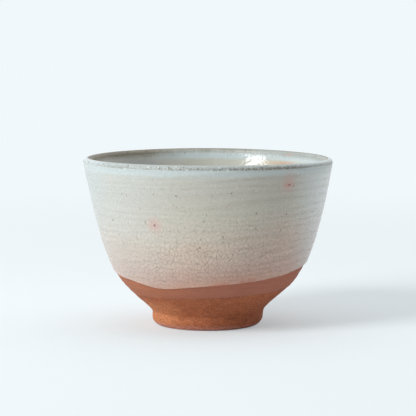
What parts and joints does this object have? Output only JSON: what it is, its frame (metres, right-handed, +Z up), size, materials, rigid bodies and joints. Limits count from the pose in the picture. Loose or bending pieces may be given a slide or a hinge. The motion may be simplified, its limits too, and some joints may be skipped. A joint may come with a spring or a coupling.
{
  "type": "tea bowl",
  "caption": "Deep round thrown tea bowl flaring from a turned foot ring, glazed inside and glazed outside down to a slanting line above bare clay.",
  "frame": {"origin": "middle of the plane that the foot ring rests on, on the bowl's axis", "axes": "+Z up along the bowl's axis; the pictured side faces -Y, with +X to the right"},
  "size_m": [0.12, 0.12, 0.081],
  "materials": {
    "clay": "bare fired clay, smooth pinkish brown band under the glaze line and rough turned orange-brown below it",
    "foot_clay": "bare fired clay, turned and gritty, orange-brown",
    "outer_glaze": "semi-gloss grey-green cream glaze warming to pinkish beige, fine crackle, pale blue under the lip, brown specks",
    "inner_glaze": "glossy grey-beige glaze, pale blue band under the lip, pink blush and fine crackle"
  },
  "bodies": {
    "root": {"bowl_body": "clay", "foot_ring": "foot_clay", "outer_glaze": "outer_glaze", "inner_glaze": "inner_glaze"}
  },
  "joints": []
}
